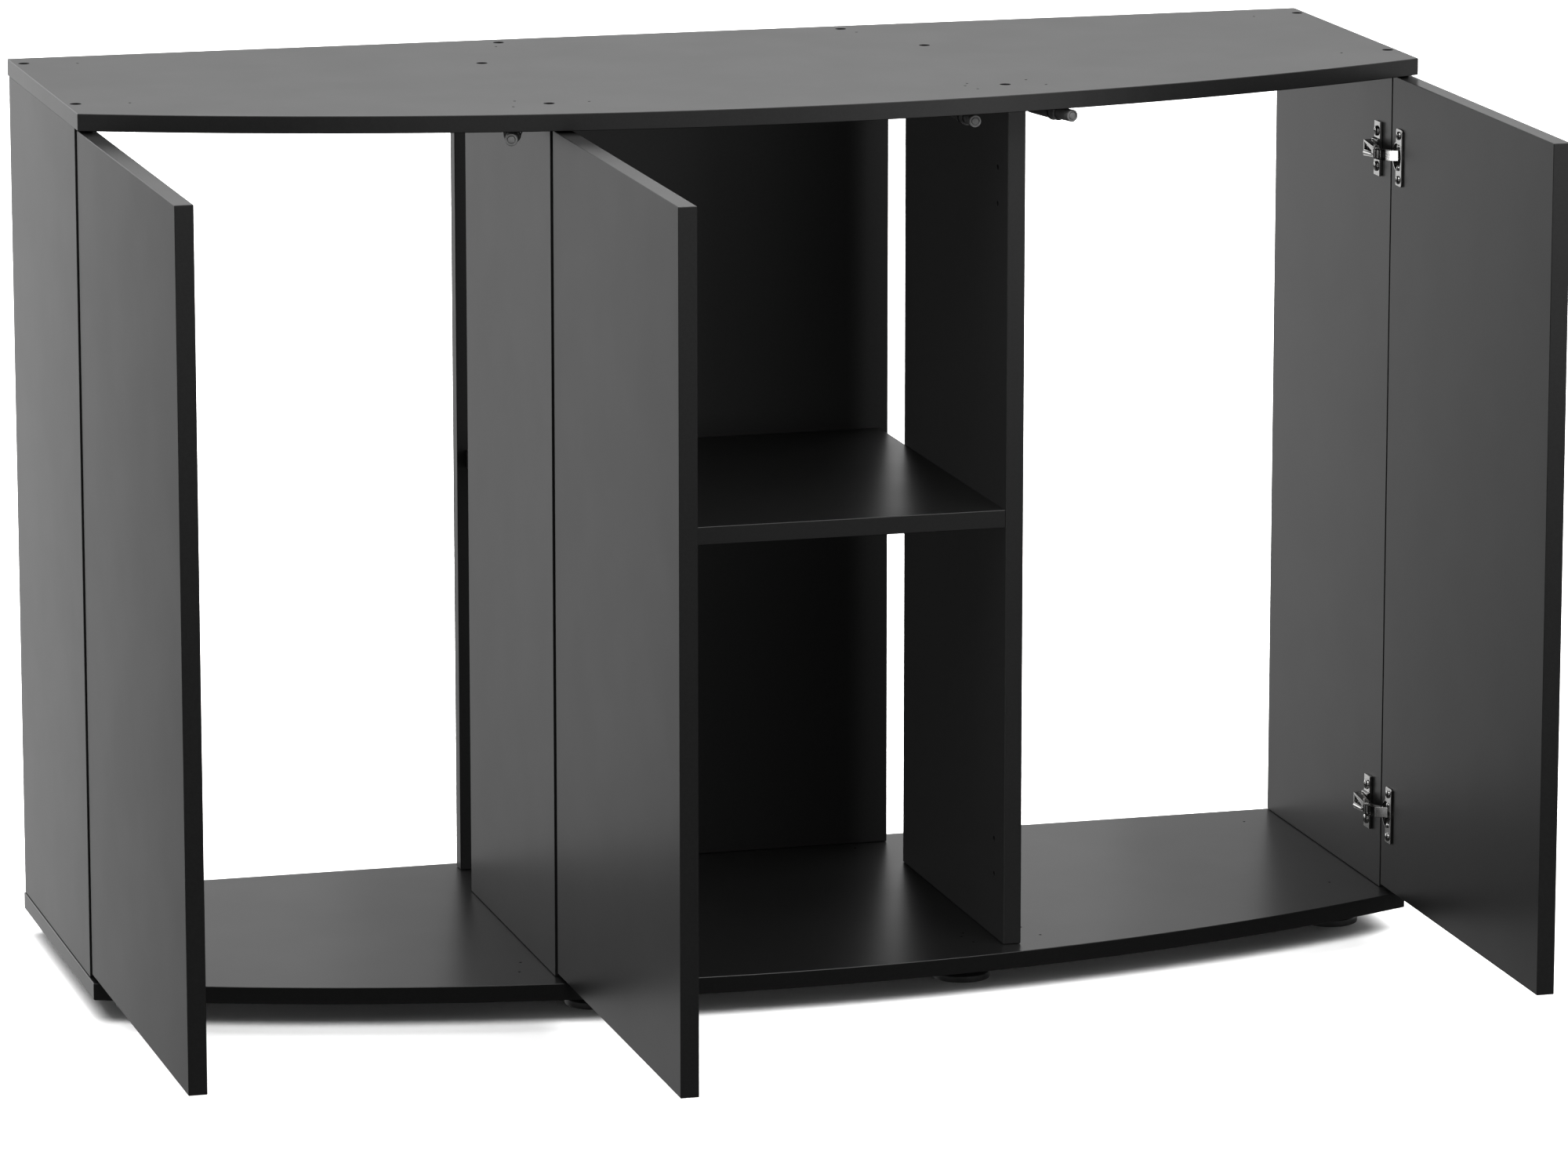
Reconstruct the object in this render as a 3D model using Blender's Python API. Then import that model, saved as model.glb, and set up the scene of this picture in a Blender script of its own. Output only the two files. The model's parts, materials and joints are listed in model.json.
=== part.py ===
"""Bow-fronted aquarium stand: a flat-pack cabinet on eight glides, with three doors standing open.

Units are metres, +Z is up, +X runs along the long side and +Y points to the back.
The origin lies on the floor, in the middle of the box around the stand with its doors open.
"""
import bmesh
import bpy
from math import cos, pi, radians, sin, sqrt, tan
from mathutils import Matrix, Vector

MM = 0.001
SEAM = 0.3 * MM                    # gap kept between two solids that touch

# ---- cabinet ----
WIDTH = 1210 * MM
SIDE_DEPTH = 335 * MM              # depth of the panels at their two ends
BOW = 125 * MM                     # how far the curved front stands out beyond that
HEIGHT = 800 * MM
PANEL = 15 * MM                    # thickness of the top and bottom panels
BOARD = 16 * MM                    # thickness of every other board
FOOT_HEIGHT = 21 * MM
EDGE_ROUND = 0.5 * MM
ARC_STEPS = 56

SIDE_OUTER = 604 * MM              # outer face of a side panel, from the middle
SIDE_SETBACK = 20.5 * MM           # side panel's front edge, behind the panel's front corner
SIDE_BACK_GAP = 1 * MM
PARTITION_INNER = 196.6 * MM       # half the width of the middle bay
PARTITION_FRONT = -86 * MM         # front edges of the partitions, from the front corner line
PARTITION_BACK = 228.3 * MM
BACK_HALF_WIDTH = 204 * MM
BACK_INSET = 12 * MM
SHELF_TOP = 429.2 * MM

# ---- doors ----
DOOR_BOTTOM_GAP = 4 * MM
DOOR_TOP_GAP = 2 * MM
SIDE_DOOR = 405.5 * MM
CENTRE_DOOR = 416 * MM
SIDE_CLOSED = radians(15.6)        # a shut side door runs back from the middle at this angle
TOE_IN = radians(0.42)             # an open side door leans towards the bay by this much
CLOSED_CLEARANCE = 2.2 * MM        # between a shut door and the board edge behind it
OPEN_CLEARANCE = 5.2 * MM          # between an open door's edge and the board edge behind it
OPEN_STEP = 1 * MM                 # an open door's outer face lies this far inside its board's
SIDE_CLOSED_EDGE = 603 * MM        # shut side door: inner corner of its hinge edge
CENTRE_CLOSED_EDGE = 208 * MM

# ---- hinges ----
HINGE_LEVELS = {"lower": 109.7 * MM, "upper": 712.2 * MM}
HINGE_SETBACK = 30 * MM            # screw line of the mounting plate, behind the board's edge
SCREW_PITCH = 32 * MM
PLATE_WIDTH, PLATE_LENGTH, PLATE_THICK = 15 * MM, 49 * MM, 2.4 * MM
SADDLE_HALF, SADDLE_THICK = 8.5 * MM, 5.2 * MM
PIN_PROUD = 12 * MM                # arm's pin, out from the board's face
PIN_SETBACK = 2 * MM               # arm's pin, behind the board's edge
NOSE_RADIUS, NOSE_HALF = 2.9 * MM, 3.5 * MM
ARM_CROWN, ARM_TAIL_HALF, ARM_POCKET = 12.6 * MM, 7.4 * MM, 4 * MM
LINK_LENGTH = 22.6 * MM
LINK_HALF, LINK_SHEET = 4.7 * MM, 0.9 * MM
LINK_OPEN = radians(-125)          # direction of the link with its door open
LINK_SWING = radians(-20)          # how far it turns while the door shuts
CUP_RADIUS, CUP_WALL, CUP_DEPTH = 13 * MM, 0.7 * MM, 10.5 * MM
CUP_SETBACK = 16.5 * MM            # cup's centre, from the door's hinge edge
CUP_RIM = 0.9 * MM
EAR_OFFSET = 6 * MM                # screw ears lie this far beyond the cup's centre
EAR_THICK, EAR_HALF = 1.6 * MM, 25 * MM
CUP_BORE = CUP_RADIUS + SEAM
CUP_BORE_DEPTH = CUP_DEPTH + CUP_WALL + SEAM

# ---- push latches ----
LATCH_DROP = 7.2 * MM              # latch axis below the top panel
LATCH_RADIUS, PLUNGER_RADIUS = 6.8 * MM, 5.4 * MM
LATCH_BACK = -46 * MM              # along the axis, from the shut door's inner face
LATCH_MOUTH = -0.8 * MM
PLUNGER_TIP = 20 * MM
PLUNGER_TRAVEL = 20.5 * MM
CENTRE_LATCH_X = 160 * MM
SIDE_LATCH_X = 245 * MM            # where a side latch's axis meets its shut door

# ---- feet, screws and holes ----
FOOT_RADIUS, FOOT_STEM = 26 * MM, 20 * MM
FOOT_RIM, FOOT_SHOULDER = 6 * MM, 9.5 * MM            # heights of the glide's edge and shoulder
SCREW_HOLE, SCREW_SINK, SCREW_HEAD = 5 * MM, 3 * MM, 3.6 * MM
SCREW_LENGTH, SCREW_POINT = 50 * MM, 4 * MM
SOCKET_RADIUS, SOCKET_DEPTH = 2.4 * MM, 2.2 * MM
SHANK_RADIUS, SHANK_BORE = 2.4 * MM, 2.8 * MM
SCREW_INSET_FRONT, SCREW_INSET_BACK = 35.3 * MM, 33 * MM
PILOT_RADIUS, PILOT_DEPTH = 1.4 * MM, 8 * MM
LINE_HOLE_RADIUS, LINE_HOLE_DEPTH = 2.5 * MM, 9 * MM
BACK_SCREW_X = 160.5 * MM
SIDE_PILOT_X, SIDE_PILOT_Y = 230 * MM, -30 * MM       # nearer screw of a side latch's bracket
CENTRE_PILOT_X, CENTRE_PILOT_Y = 174 * MM, -37 * MM
FEET = {"outer": (550 * MM, 49.5 * MM, 290.4 * MM), "inner": (168.6 * MM, -49 * MM, 291 * MM)}

FLOOR_TOP = FOOT_HEIGHT + PANEL    # upper face of the bottom panel
CEILING = HEIGHT - PANEL           # lower face of the top panel
DOOR_LOW, DOOR_HIGH = FLOOR_TOP + DOOR_BOTTOM_GAP, CEILING - DOOR_TOP_GAP
DOOR_REACH = CENTRE_DOOR + OPEN_CLEARANCE - PARTITION_FRONT
CORNER_Y = (DOOR_REACH - SIDE_DEPTH) / 2      # world Y of the panels' front corners


def clear_scene():
    for old in list(bpy.data.objects):
        bpy.data.objects.remove(old)


# ---------------------------------------------------------------- building tools

def material(name, colour, roughness, metallic=0.0):
    made = bpy.data.materials.new(name)
    made.use_nodes = True
    shader = made.node_tree.nodes["Principled BSDF"]
    shader.inputs["Base Color"].default_value = (*colour, 1)
    shader.inputs["Roughness"].default_value = roughness
    shader.inputs["Metallic"].default_value = metallic
    return made


def mesh_from(build):
    """Fill an empty bmesh with the given function and return it as a closed mesh."""
    bm = bmesh.new()
    build(bm)
    bmesh.ops.recalc_face_normals(bm, faces=bm.faces)
    mesh = bpy.data.meshes.new("mesh")
    bm.to_mesh(mesh)
    bm.free()
    return mesh


def place(name, mesh, finish, location=(0, 0, 0), parent=None):
    thing = bpy.data.objects.new(name, mesh)
    bpy.context.scene.collection.objects.link(thing)
    if not mesh.materials:
        mesh.materials.append(finish)
    thing.location = location
    thing.parent = parent
    return thing


def soften(thing, width=EDGE_ROUND):
    bevel = thing.modifiers.new("edge", "BEVEL")
    bevel.width = width
    bevel.segments = 1
    bevel.limit_method = "ANGLE"
    bevel.angle_limit = radians(40)


def block_mesh(low, high):
    size = [b - a for a, b in zip(low, high)]
    middle = [(a + b) / 2 for a, b in zip(low, high)]

    def build(bm):
        bmesh.ops.create_cube(bm, size=1)
        bmesh.ops.scale(bm, vec=size, verts=bm.verts)
        bmesh.ops.translate(bm, vec=middle, verts=bm.verts)
    return mesh_from(build)


def prism_mesh(outline, low, high, lift):
    """Extrude a flat outline; lift(a, b, height) turns its points into world points."""
    def build(bm):
        bottom = [bm.verts.new(lift(a, b, low)) for a, b in outline]
        top = [bm.verts.new(lift(a, b, high)) for a, b in outline]
        bm.faces.new(bottom)
        bm.faces.new(top)
        for i in range(len(outline)):
            j = (i + 1) % len(outline)
            bm.faces.new((bottom[i], bottom[j], top[j], top[i]))
    return mesh_from(build)


def turned_mesh(profile, steps, axis=Vector((0, 0, 1)), start=Vector((0, 0, 0))):
    """Turn a profile of (radius, distance along the axis) points; its first and last lie on it."""
    frame = axis.to_track_quat("Z", "Y").to_matrix()

    def build(bm):
        rings = []
        for radius, along in profile:
            count = steps if radius > 0 else 1
            turns = [2 * pi * (i + 0.5) / steps for i in range(count)]
            points = [Vector((radius * cos(t), radius * sin(t), along)) for t in turns]
            rings.append([bm.verts.new(start + frame @ p) for p in points])
        for near, far in zip(rings, rings[1:]):
            for i in range(steps):
                j = (i + 1) % steps
                corners = [near[i % len(near)], near[j % len(near)], far[j % len(far)],
                           far[i % len(far)]]
                bm.faces.new(list(dict.fromkeys(corners)))
        bmesh.ops.remove_doubles(bm, verts=bm.verts, dist=1e-7)
    return mesh_from(build)


def joined(meshes):
    def build(bm):
        for mesh in meshes:
            bm.from_mesh(mesh)
    return mesh_from(build)


def cut(thing, cutter_mesh, name="cutter", operation="DIFFERENCE"):
    """Cut (or join) a hidden tool shape, which keeps the thing's own place and parent."""
    tool = place(thing.name + "_" + name, cutter_mesh, STEEL, thing.location, thing.parent)
    tool.hide_render = True
    tool.display_type = "WIRE"
    change = thing.modifiers.new(name, "BOOLEAN")
    change.operation = operation
    change.solver = "EXACT"
    change.object = tool
    return tool


def baked_mesh(base, steps):
    """Apply a list of (operation, tool mesh) to a base mesh and return the finished mesh."""
    thing = place("master", base, STEEL)
    tools = [cut(thing, mesh, "tool%d" % i, op) for i, (op, mesh) in enumerate(steps)]
    graph = bpy.context.evaluated_depsgraph_get()
    mesh = bpy.data.meshes.new_from_object(thing.evaluated_get(graph))
    for item in [thing] + tools:
        bpy.data.objects.remove(item)
    return mesh


def mirrored(mesh, hand):
    """The same mesh for a left-hand (+1) or right-hand (-1) door."""
    twin = mesh.copy()
    if hand < 0:
        twin.transform(Matrix.Diagonal((-1, 1, 1, 1)))
        twin.flip_normals()
    return twin


def polish(mesh):
    mesh.shade_smooth()
    mesh.set_sharp_from_angle(angle=radians(35))
    return mesh


def world(x, y, z):
    """World point from a Y that counts back from the panels' front corners."""
    return Vector((x, y + CORNER_Y, z))


# ---------------------------------------------------------------- carcass

def bow_outline():
    """Plan of the top and bottom panels: straight back and ends, one arc across the front."""
    half = WIDTH / 2
    radius = (half * half + BOW * BOW) / (2 * BOW)
    arc = []
    for i in range(ARC_STEPS + 1):
        x = half - WIDTH * i / ARC_STEPS
        arc.append((x, radius - BOW - sqrt(radius * radius - x * x)))
    return [(-half, SIDE_DEPTH), (half, SIDE_DEPTH)] + arc


def upright_screws():
    """Places of the top panel's ten screws: name, x and y, two to each upright board."""
    side_x = SIDE_OUTER - BOARD / 2
    part_x = PARTITION_INNER + BOARD / 2
    places = []
    for label, hand in (("left", -1), ("right", 1)):
        places += [
            (label + "_side_front", hand * side_x, SIDE_SETBACK + SCREW_INSET_FRONT),
            (label + "_side_back", hand * side_x, SIDE_DEPTH - SCREW_INSET_BACK),
            (label + "_partition_front", hand * part_x, PARTITION_FRONT + SCREW_INSET_FRONT),
            (label + "_partition_back", hand * part_x, PARTITION_BACK - SCREW_INSET_BACK),
            (label + "_back_panel", hand * BACK_SCREW_X,
             SIDE_DEPTH - BACK_INSET - BOARD / 2)]
    return places


def pilot_places():
    """Small drillings that both curved panels share: foot screws and latch screws."""
    places = [(hand * x, y) for x, front, back in FEET.values()
              for hand in (-1, 1) for y in (front, back)]
    for along in (0, SCREW_PITCH):
        places.append((CENTRE_PILOT_X, CENTRE_PILOT_Y - along))
        for hand in (-1, 1):
            places.append((hand * (SIDE_PILOT_X + along * sin(SIDE_CLOSED)),
                           SIDE_PILOT_Y - along * cos(SIDE_CLOSED)))
    return places


def hole_mesh(x, y, top, profile, steps):
    return turned_mesh([(r, top - depth) for r, depth in profile], steps, start=world(x, y, 0))


def bow_panel(name, low, screws):
    plan = prism_mesh(bow_outline(), low, low + PANEL, world)
    panel = place(name, plan, MELAMINE)
    soften(panel)
    top = low + PANEL
    over = 1 * MM
    tools = [hole_mesh(x, y, top, [(0, -over), (PILOT_RADIUS, -over), (PILOT_RADIUS, PILOT_DEPTH),
                                   (0, PILOT_DEPTH)], 8) for x, y in pilot_places()]
    if screws:
        seat = SCREW_SINK + SCREW_HEAD + SEAM
        stepped = [(0, -over), (SCREW_HOLE, -over), (SCREW_HOLE, seat), (SHANK_BORE, seat),
                   (SHANK_BORE, PANEL + over), (0, PANEL + over)]
        tools += [hole_mesh(x, y, top, stepped, 18) for _, x, y in upright_screws()]
    cut(panel, joined(tools), "holes")
    return panel


def upright(name, x_low, x_high, y_low, y_high, screw_keys, side_holes=()):
    low, high = FLOOR_TOP + SEAM, CEILING - SEAM
    shape = block_mesh(world(x_low, y_low, low), world(x_high, y_high, high))
    board = place(name, shape, MELAMINE)
    soften(board)
    depth = SCREW_LENGTH - PANEL + SCREW_SINK + SCREW_HEAD
    bore = [(0, -1 * MM), (SHANK_BORE, -1 * MM), (SHANK_BORE, depth), (0, depth)]
    tools = [hole_mesh(x, y, high, bore, 8)
             for key, x, y in upright_screws() if key in screw_keys]
    cut(board, joined(tools + list(side_holes)), "holes")
    return board


def spare_hinge_holes():
    """Two pairs of blind holes for moving the middle door's hinges to the other partition."""
    into = Vector((1, 0, 0))
    y = PARTITION_FRONT + HINGE_SETBACK
    profile = [(0, -1 * MM), (LINE_HOLE_RADIUS, -1 * MM), (LINE_HOLE_RADIUS, LINE_HOLE_DEPTH),
               (0, LINE_HOLE_DEPTH)]
    return [turned_mesh(profile, 10, into, world(PARTITION_INNER, y, level + shift))
            for level in HINGE_LEVELS.values() for shift in (-SCREW_PITCH / 2, SCREW_PITCH / 2)]


def build_carcass():
    bow_panel("bottom_panel", FOOT_HEIGHT, screws=False)
    bow_panel("top_panel", CEILING, screws=True)
    inner, outer = PARTITION_INNER, PARTITION_INNER + BOARD
    for label, hand in (("left", -1), ("right", 1)):
        keys = [label + "_side_front", label + "_side_back"]
        xs = sorted((hand * SIDE_OUTER, hand * (SIDE_OUTER - BOARD)))
        upright(label + "_side_panel", *xs, SIDE_SETBACK, SIDE_DEPTH - SIDE_BACK_GAP, keys)
        keys = [label + "_partition_front", label + "_partition_back"]
        xs = sorted((hand * inner, hand * outer))
        spare = spare_hinge_holes() if hand > 0 else ()
        upright(label + "_partition", *xs, PARTITION_FRONT, PARTITION_BACK, keys, spare)
    rear = SIDE_DEPTH - BACK_INSET
    upright("back_panel", -BACK_HALF_WIDTH, BACK_HALF_WIDTH, rear - BOARD, rear,
            ["left_back_panel", "right_back_panel"])
    low = world(-inner + SEAM, PARTITION_FRONT, SHELF_TOP - BOARD)
    high = world(inner - SEAM, rear - BOARD - SEAM, SHELF_TOP)
    soften(place("middle_shelf", block_mesh(low, high), MELAMINE))


# ---------------------------------------------------------------- doors

def turned(vector, angle):
    return Matrix.Rotation(angle, 2) @ vector


def pivot_between(shut, opened, turn):
    """Fixed point of the turn that carries a door corner from shut to open."""
    spin = Matrix.Rotation(turn, 2)
    return (Matrix.Identity(2) - spin).inverted() @ (opened - spin @ shut)


class Door:
    """One door: its pivot, how far it shuts and where its corners lie.

    Plans are worked out for a left-hand door, hinged at its left edge. In its own frame the
    pivot is the origin, X points into the bay and the open door runs along -Y.
    """

    def __init__(self, name, hand, board_outer, board_front, width, shut_edge, angle, toe_in):
        self.name, self.hand, self.width = name, hand, width
        self.toe_in = toe_in
        self.swing = pi / 2 - angle - toe_in
        face = Vector((-sin(angle), -cos(angle)))
        ramp = (shut_edge - board_outer) * tan(angle)
        shut_back = Vector((shut_edge, board_front - CLOSED_CLEARANCE - ramp))
        shut = shut_back + BOARD * face
        opened = Vector((board_outer + OPEN_STEP, board_front - OPEN_CLEARANCE))
        self.pivot = pivot_between(shut, opened, -self.swing)
        self.corner = turned(opened - self.pivot, -toe_in)
        self.board_edge = Vector((board_outer + BOARD, board_front))
        self.pin = self.board_edge + Vector((PIN_PROUD, PIN_SETBACK))

    def empty(self, label, point, lean=0.0, parent=None):
        frame = bpy.data.objects.new(self.name + label, None)
        bpy.context.scene.collection.objects.link(frame)
        place_y = point.y if parent else point.y + CORNER_Y
        frame.location = (self.hand * point.x, place_y, 0)
        frame.rotation_euler = (0, 0, self.hand * lean)
        frame.parent = parent
        return frame

    def shut_face_y(self, x):
        """Where the shut door's inner face lies at x, counted back from the front corners."""
        shut = self.swing + self.toe_in
        edge = self.pivot + turned(self.corner + Vector((BOARD, 0)), shut)
        return edge.y - (x - edge.x) / tan(shut)

    def fit(self, name, mesh, level, parent):
        return place(name, mirrored(mesh, self.hand), NICKEL, (0, 0, level), parent)


def door_leaf(door, frame):
    x, y = door.corner
    low = (x, y - door.width, DOOR_LOW)
    high = (x + BOARD, y, DOOR_HIGH)
    leaf = place(door.name, mirrored(block_mesh(low, high), door.hand), MELAMINE, parent=frame)
    soften(leaf)
    face = x + BOARD
    into = Vector((-1, 0, 0))
    profile = [(0, -1 * MM), (CUP_BORE, -1 * MM), (CUP_BORE, CUP_BORE_DEPTH),
               (0, CUP_BORE_DEPTH)]
    bores = [turned_mesh(profile, 28, into, Vector((face, y - CUP_SETBACK, level)))
             for level in HINGE_LEVELS.values()]
    cut(leaf, mirrored(joined(bores), door.hand), "bores")


# ---------------------------------------------------------------- hinges
# Hinge meshes are made once, for a left-hand door. Plate and arm count from the board's front
# edge and inner face, the link from its pin and the cup from its centre on the door's face.

def hinge_plate_mesh():
    """Mounting plate: flat ears with a raised saddle, run along Y by its width."""
    ear, saddle = PLATE_THICK, SADDLE_THICK
    half, slope = PLATE_LENGTH / 2, 1.2 * MM
    outline = [(SEAM, -half), (ear, -half), (ear, -SADDLE_HALF - slope), (saddle, -SADDLE_HALF),
               (saddle, SADDLE_HALF), (ear, SADDLE_HALF + slope), (ear, half), (SEAM, half)]
    low = HINGE_SETBACK - PLATE_WIDTH / 2
    return prism_mesh(outline, low, low + PLATE_WIDTH, lambda x, z, y: (x, y, z))


def hinge_arm_mesh():
    """Hollow-sided wedge from behind the plate to a round nose on the pin."""
    tail_y, neck_y = HINGE_SETBACK + 8 * MM, PIN_SETBACK + 7 * MM
    under, crown = SADDLE_THICK + SEAM, ARM_CROWN
    sections = [(tail_y, under, crown, ARM_TAIL_HALF),
                (neck_y, under + 1.5 * MM, crown + 0.8 * MM, NOSE_HALF + 1.2 * MM),
                (PIN_SETBACK + 4 * MM, PIN_PROUD - NOSE_RADIUS, PIN_PROUD + NOSE_RADIUS,
                 NOSE_HALF)]
    nose = [(PIN_SETBACK - NOSE_RADIUS * sin(t), PIN_PROUD - NOSE_RADIUS * cos(t),
             PIN_PROUD + NOSE_RADIUS * cos(t), NOSE_HALF)
            for t in (0, pi / 6, pi / 3, 0.46 * pi)]

    def build(bm):
        rings = []
        for y, x_low, x_high, half in sections + nose:
            corners = ((x_low, -half), (x_high, -half), (x_high, half), (x_low, half))
            rings.append([bm.verts.new((x, y, z)) for x, z in corners])
        bm.faces.new(rings[0])
        bm.faces.new(rings[-1])
        for near, far in zip(rings, rings[1:]):
            for i in range(4):
                j = (i + 1) % 4
                bm.faces.new((near[i], near[j], far[j], far[i]))
    wedge = mesh_from(build)
    wide, narrow = ARM_TAIL_HALF - 1.8 * MM, 1.2 * MM
    window = [(tail_y - 2 * MM, -wide), (tail_y - 2 * MM, wide), (neck_y + 4 * MM, narrow),
              (neck_y + 4 * MM, -narrow)]
    pocket = prism_mesh(window, crown - ARM_POCKET, crown + ARM_POCKET,
                        lambda y, z, x: (x, y, z))
    return baked_mesh(wedge, [("DIFFERENCE", pocket)])


def hinge_link_mesh():
    """Folded link: two cheeks that carry the pin, joined at their far end by a slanting web."""
    along = Vector((cos(LINK_OPEN), sin(LINK_OPEN)))
    across = Vector((-along.y, along.x))
    heel = -3.3 * MM
    web_near, web_far = Vector((13.3 * MM, 6 * MM)), Vector((LINK_LENGTH, 0.4 * MM))
    cheek = [(heel, -3.2 * MM), (5 * MM, -3.2 * MM), (8 * MM, -0.8 * MM),
             (LINK_LENGTH - 1.8 * MM, -0.8 * MM), web_far, web_near, (11.5 * MM, 6 * MM),
             (1 * MM, 3.6 * MM), (heel, 2.5 * MM)]

    def lift(a, b, z):
        point = along * a + across * b
        return (point.x, point.y, z)
    body = prism_mesh(cheek, -LINK_HALF, LINK_HALF, lift)
    run = (web_far - web_near).normalized()
    inward = Vector((run.y, -run.x)) * LINK_SHEET
    low, high = web_near - run * 4 * MM + inward, web_far + run * 3 * MM + inward
    back = heel - 5 * MM
    gap = [low, high, (high.x, back), (back, back), (back, low.y)]
    slot = prism_mesh(gap, LINK_SHEET - LINK_HALF, LINK_HALF - LINK_SHEET, lift)
    return baked_mesh(body, [("DIFFERENCE", slot)])


def hinge_cup_mesh():
    """Cup with a thin rim and two screw ears, its mouth at x = 0 facing +X."""
    out = Vector((1, 0, 0))
    rim = CUP_RADIUS + 0.8 * MM
    foot = SEAM
    shell = turned_mesh([(0, -CUP_DEPTH - CUP_WALL), (CUP_RADIUS, -CUP_DEPTH - CUP_WALL),
                         (CUP_RADIUS, foot), (rim, foot), (rim, CUP_RIM), (0, CUP_RIM)], 24, out)
    near, far, clip = PLATE_WIDTH / 2 - EAR_OFFSET, -PLATE_WIDTH / 2 - EAR_OFFSET, 2 * MM
    upper = [(near, EAR_HALF - clip), (near - clip, EAR_HALF), (far + clip, EAR_HALF),
             (far, EAR_HALF - clip)]
    ears = upper + [(y, -z) for y, z in reversed(upper)]
    plate = prism_mesh(ears, foot, EAR_THICK, lambda y, z, x: (x, y, z))
    bowl_radius = CUP_RADIUS - CUP_WALL
    bowl = turned_mesh([(0, -CUP_DEPTH), (bowl_radius, -CUP_DEPTH), (bowl_radius, 5 * MM),
                        (0, 5 * MM)], 24, out)
    return baked_mesh(shell, [("UNION", plate), ("DIFFERENCE", bowl)])


def build_hinges(door, door_frame, meshes):
    edge = door.empty("_board", door.board_edge)
    pin = door.empty("_pin", door.pin)
    cup = door.empty("_cups", door.corner + Vector((BOARD, -CUP_SETBACK)), parent=door_frame)
    stem = door.name.replace("_door", "")
    for level_name, level in HINGE_LEVELS.items():
        hinge = stem + "_" + level_name + "_hinge_"
        door.fit(hinge + "plate", meshes["plate"], level, edge)
        door.fit(hinge + "arm", meshes["arm"], level, edge)
        door.fit(hinge + "link", meshes["link"], level, pin)
        door.fit(hinge + "cup", meshes["cup"], level, cup)


# ---------------------------------------------------------------- push latches

def build_latch(label, x, y, angle):
    """Push latch under the top panel; x and y are where its axis meets the shut door."""
    forward = Vector((sin(angle), -cos(angle), 0))
    start = world(x, y, CEILING - LATCH_DROP)
    bore = PLUNGER_RADIUS + SEAM
    depth = -PLUNGER_TRAVEL - 3 * MM
    chamfer = 0.6 * MM
    body = [(0, LATCH_BACK), (LATCH_RADIUS - chamfer, LATCH_BACK),
            (LATCH_RADIUS, LATCH_BACK + chamfer), (LATCH_RADIUS, LATCH_MOUTH - chamfer),
            (LATCH_RADIUS - chamfer, LATCH_MOUTH), (bore, LATCH_MOUTH), (bore, depth), (0, depth)]
    place(label + "_latch_body", polish(turned_mesh(body, 22, forward)), GREY_PLASTIC, start)
    tip, cap = PLUNGER_TIP, 4.6 * MM
    groove = PLUNGER_RADIUS - 0.7 * MM
    rod = [(0, -2 * MM), (groove, -2 * MM), (groove, 1.5 * MM), (PLUNGER_RADIUS, 2.2 * MM),
           (PLUNGER_RADIUS, tip - cap - 1 * MM), (groove, tip - cap - 0.6 * MM),
           (groove, tip - cap), (PLUNGER_RADIUS, tip - cap), (PLUNGER_RADIUS, tip - 0.5 * MM),
           (PLUNGER_RADIUS - 0.5 * MM, tip), (3.5 * MM, tip), (3.3 * MM, tip - 1 * MM),
           (0, tip - 1 * MM)]
    place(label + "_latch_plunger", polish(turned_mesh(rod, 22, forward)), GREY_PLASTIC, start)


def build_latches():
    build_latch("centre", CENTRE_LATCH_X, PARTITION_FRONT - CLOSED_CLEARANCE, 0.0)
    side_y = LEFT_DOOR.shut_face_y(-SIDE_LATCH_X)
    for label, hand in (("left", -1), ("right", 1)):
        build_latch(label, hand * SIDE_LATCH_X, side_y, hand * SIDE_CLOSED)


# ---------------------------------------------------------------- feet and screws

def build_feet():
    top = FOOT_HEIGHT - SEAM
    chamfer = 1 * MM
    profile = [(0, 0), (FOOT_RADIUS - chamfer, 0), (FOOT_RADIUS, chamfer),
               (FOOT_RADIUS, FOOT_RIM), (FOOT_RADIUS - 1.5 * chamfer, FOOT_RIM + 2 * chamfer),
               (FOOT_STEM, FOOT_SHOULDER), (FOOT_STEM, top), (0, top)]
    glide = polish(turned_mesh(profile, 28))
    for ring, (x, front, back) in FEET.items():
        for row, y in (("front", front), ("back", back)):
            for side, hand in (("left", -1), ("right", 1)):
                name = row + "_" + side + "_" + ring + "_foot"
                place(name, glide, BLACK_PLASTIC, world(hand * x, y, 0))


def build_screws():
    head = SCREW_HOLE - SEAM
    chamfer = 0.6 * MM
    profile = [(0, -SOCKET_DEPTH), (SOCKET_RADIUS, -SOCKET_DEPTH), (SOCKET_RADIUS, 0),
               (head - chamfer, 0), (head, -chamfer), (head, -SCREW_HEAD),
               (SHANK_RADIUS, -SCREW_HEAD), (SHANK_RADIUS, SCREW_POINT - SCREW_LENGTH),
               (0, -SCREW_LENGTH)]
    screw = polish(turned_mesh(profile, 12))
    for key, x, y in upright_screws():
        place("screw_" + key, screw, STEEL, world(x, y, HEIGHT - SCREW_SINK))


# ---------------------------------------------------------------- the whole stand

clear_scene()
MELAMINE = material("black_melamine", (0.028, 0.028, 0.03), 0.5)
NICKEL = material("nickel", (0.62, 0.62, 0.63), 0.25, 1.0)
GREY_PLASTIC = material("grey_plastic", (0.2, 0.2, 0.21), 0.4)
BLACK_PLASTIC = material("black_plastic", (0.015, 0.015, 0.015), 0.45)
STEEL = material("blackened_steel", (0.05, 0.05, 0.055), 0.4, 1.0)

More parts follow.
